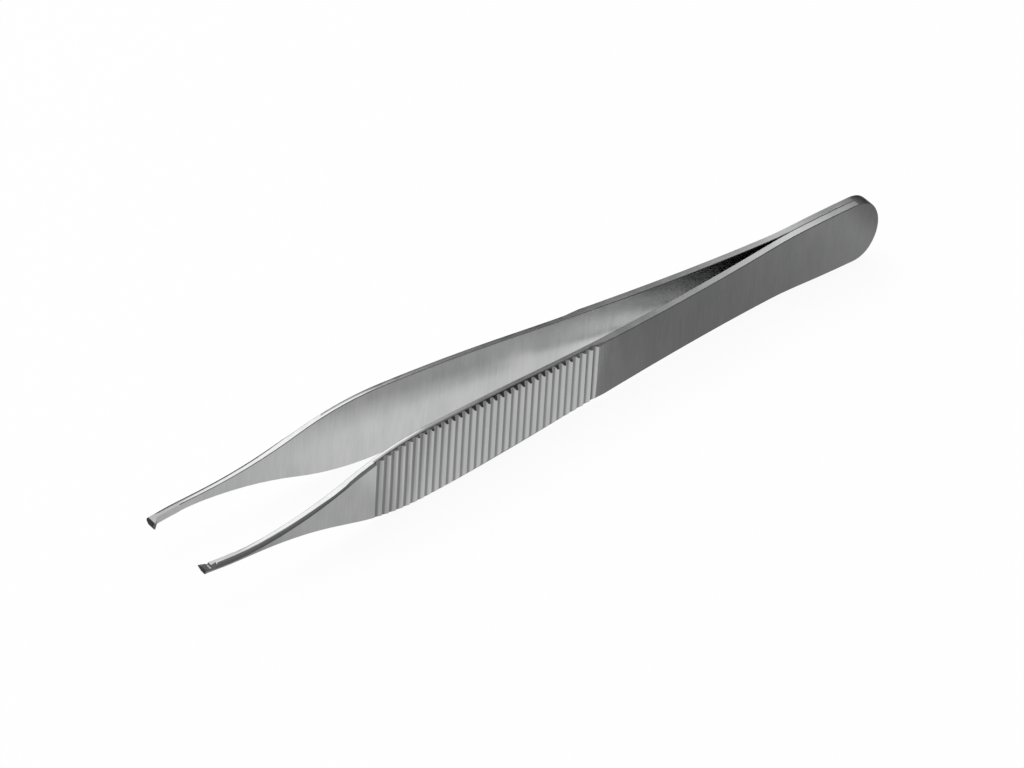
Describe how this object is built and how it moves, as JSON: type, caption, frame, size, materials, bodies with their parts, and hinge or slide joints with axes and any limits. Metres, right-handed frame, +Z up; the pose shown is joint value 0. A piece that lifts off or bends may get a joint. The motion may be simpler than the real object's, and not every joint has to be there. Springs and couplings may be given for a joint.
{
  "type": "thumb forceps",
  "caption": "Thumb forceps with interlocking teeth: sprung steel arms, welded together at the heel, with ridged grips and narrow tips for holding tissue.",
  "frame": {"origin": "middle of the bounding box, on the plane the lower edges of both arms stand on", "axes": "tips along -X, welded heel along +X, +Y across the two arms towards the right arm (the one with two teeth), +Z up across the arms' width"},
  "size_m": [0.125, 0.0146, 0.0124],
  "materials": {
    "steel": "satin, finely brushed"
  },
  "bodies": {
    "root": {"left_arm": "steel", "right_arm": "steel"}
  },
  "joints": []
}
